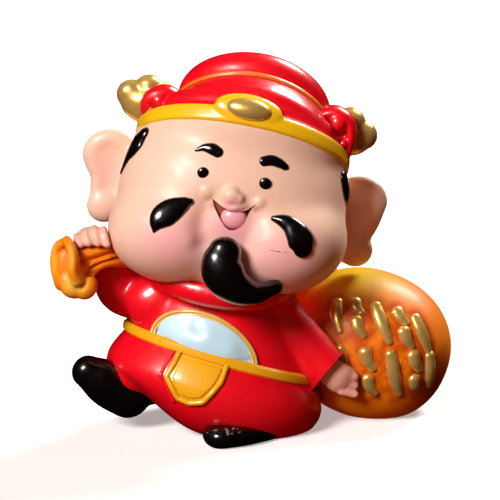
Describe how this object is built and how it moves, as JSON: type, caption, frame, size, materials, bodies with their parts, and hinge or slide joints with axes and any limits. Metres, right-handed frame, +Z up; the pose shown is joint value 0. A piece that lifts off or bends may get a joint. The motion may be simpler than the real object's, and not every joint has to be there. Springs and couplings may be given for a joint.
{
  "type": "deity figurine",
  "caption": "Palm-sized painted resin figurine of a laughing god of wealth in a red robe and hat, striding with a big money sack over the right shoulder; stands on its flat underside.",
  "frame": {"origin": "under the middle of the figurine's bounding box, on the plane it stands on", "axes": "+X to the figure's own left, where the sack lies; -Y is the way it faces; +Z up"},
  "size_m": [0.0724, 0.0446, 0.0682],
  "materials": {
    "painted_resin": "hand painted in red, yellow, skin, black and gold under a gloss varnish"
  },
  "bodies": {
    "root": {"figurine": "painted_resin"}
  },
  "joints": []
}
